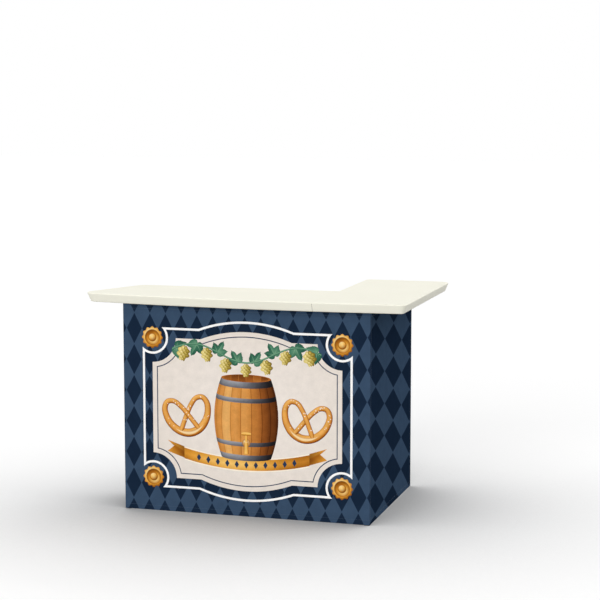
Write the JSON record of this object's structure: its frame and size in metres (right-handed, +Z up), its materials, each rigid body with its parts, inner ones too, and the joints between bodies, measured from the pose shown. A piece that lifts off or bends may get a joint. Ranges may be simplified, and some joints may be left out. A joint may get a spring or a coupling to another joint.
{
  "type": "portable bar",
  "caption": "Portable L-shaped bar: moulded counter with a side wing on a folding tube frame, bottle shelves inside and a lozenge-patterned cloth skirt.",
  "frame": {"origin": "on the floor under the middle of the counter's outline", "axes": "+X to the right along the front, +Y to the back, +Z up"},
  "size_m": [1.5441, 0.9949, 1.016],
  "materials": {
    "counter_plastic": "satin moulded plastic, cream white",
    "shelf_plastic": "lightly grained moulded plastic",
    "skirt_cloth": "printed polyester, two-tone blue lozenges",
    "hook_tape": "woven hook-and-loop tape",
    "frame_tube": "silver grey powder coat",
    "bright_steel": "zinc plated",
    "plug_plastic": "moulded black plastic",
    "dowel_wood": "plain beech"
  },
  "bodies": {
    "frame": {"front_left_post": "frame_tube", "front_right_post": "frame_tube", "left_return_post": "frame_tube", "right_return_post": "frame_tube", "front_middle_post": "frame_tube", "front_top_rail": "frame_tube", "front_bottom_rail": "frame_tube", "left_return_top_rail": "frame_tube", "left_return_bottom_rail": "frame_tube", "right_return_top_rail": "frame_tube", "right_return_bottom_rail": "frame_tube", "shelf_bearers": "frame_tube", "shelf_brackets": "frame_tube", "front_feet": "plug_plastic", "front_post_caps": "plug_plastic", "right_hinge_fixed_leaves": "bright_steel", "right_hinge_pins": "bright_steel", "left_hinge_fixed_leaves": "bright_steel", "left_hinge_pins": "bright_steel", "counter_pegs": "bright_steel", "front_hook_tape": "hook_tape", "skirt_front": "skirt_cloth"},
    "right_side": {"right_front_stile": "frame_tube", "right_rear_stile": "frame_tube", "right_top_rail": "frame_tube", "right_middle_rail": "frame_tube", "right_bottom_rail": "frame_tube", "right_feet": "plug_plastic", "right_post_caps": "plug_plastic", "right_hinge_moving_leaves": "bright_steel", "right_hook_tape": "hook_tape", "skirt_right": "skirt_cloth"},
    "left_side": {"left_front_stile": "frame_tube", "left_rear_stile": "frame_tube", "left_top_rail": "frame_tube", "left_middle_rail": "frame_tube", "left_bottom_rail": "frame_tube", "left_feet": "plug_plastic", "left_post_caps": "plug_plastic", "left_hinge_moving_leaves": "bright_steel", "left_hook_tape": "hook_tape", "skirt_left": "skirt_cloth"},
    "counter": {"front_plank": "counter_plastic", "wing_plank": "counter_plastic", "seam_plates": "bright_steel", "seam_screws": "bright_steel", "seam_dowels": "dowel_wood"},
    "lower_shelf": {"lower_shelf": "shelf_plastic"},
    "upper_shelf": {"upper_shelf": "shelf_plastic"}
  },
  "joints": [
    {"name": "right_fold", "type": "hinge", "parent": "frame", "child": "right_side", "pos_m": [0.56656, -0.22325, 0.4865], "axis": [0, 0, 1], "range_deg": [0, 90]},
    {"name": "left_fold", "type": "hinge", "parent": "frame", "child": "left_side", "pos_m": [-0.55144, -0.22325, 0.4865], "axis": [0, 0, -1], "range_deg": [0, 90]},
    {"name": "counter_lift", "type": "slide", "parent": "frame", "child": "counter", "axis": [0, 0, 1], "range_m": [0, 0.15]},
    {"name": "lower_shelf_lift", "type": "slide", "parent": "frame", "child": "lower_shelf", "axis": [0, 0, 1], "range_m": [0, 0.06]},
    {"name": "upper_shelf_lift", "type": "slide", "parent": "frame", "child": "upper_shelf", "axis": [0, 0, 1], "range_m": [0, 0.06]}
  ]
}
